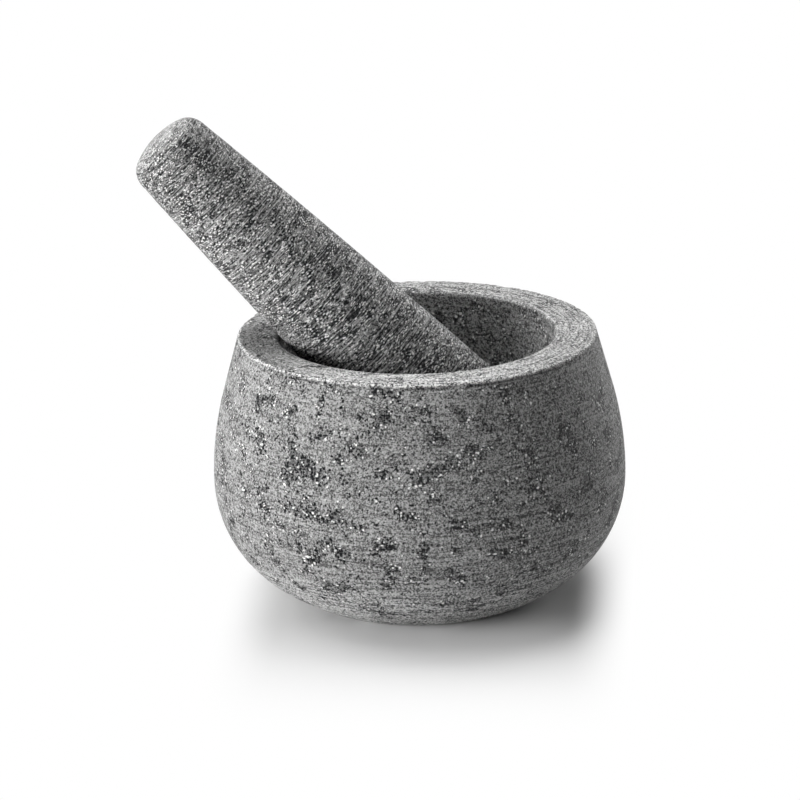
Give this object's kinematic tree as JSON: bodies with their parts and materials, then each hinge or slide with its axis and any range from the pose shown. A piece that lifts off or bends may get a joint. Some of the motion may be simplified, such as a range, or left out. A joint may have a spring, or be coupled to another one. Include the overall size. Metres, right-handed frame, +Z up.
{
  "type": "mortar and pestle",
  "caption": "Turned granite mortar with a thick flat rim, round belly and flat foot, and a tapered stone pestle that leans in its hollow to grind and crush food by hand.",
  "frame": {"origin": "centre of the bowl's flat foot, on the surface that it stands on", "axes": "+Z up along the bowl's axis, -X towards the side that the pestle leans to, so the pestle's axis lies in the XZ plane"},
  "size_m": [0.1632, 0.14, 0.1657],
  "materials": {
    "bowl_granite": "fine-turned matt granite, dark speckled, smoother on the rim",
    "pestle_granite": "turned matt granite with tool lines round it, smoother on the handle's dome"
  },
  "bodies": {
    "bowl": {"mortar_bowl": "bowl_granite"},
    "pestle": {"pestle": "pestle_granite"}
  },
  "joints": [
    {"name": "pestle_lift", "type": "slide", "parent": "bowl", "child": "pestle", "axis": [0, 0, 1], "range_m": [0, 0.07]}
  ]
}
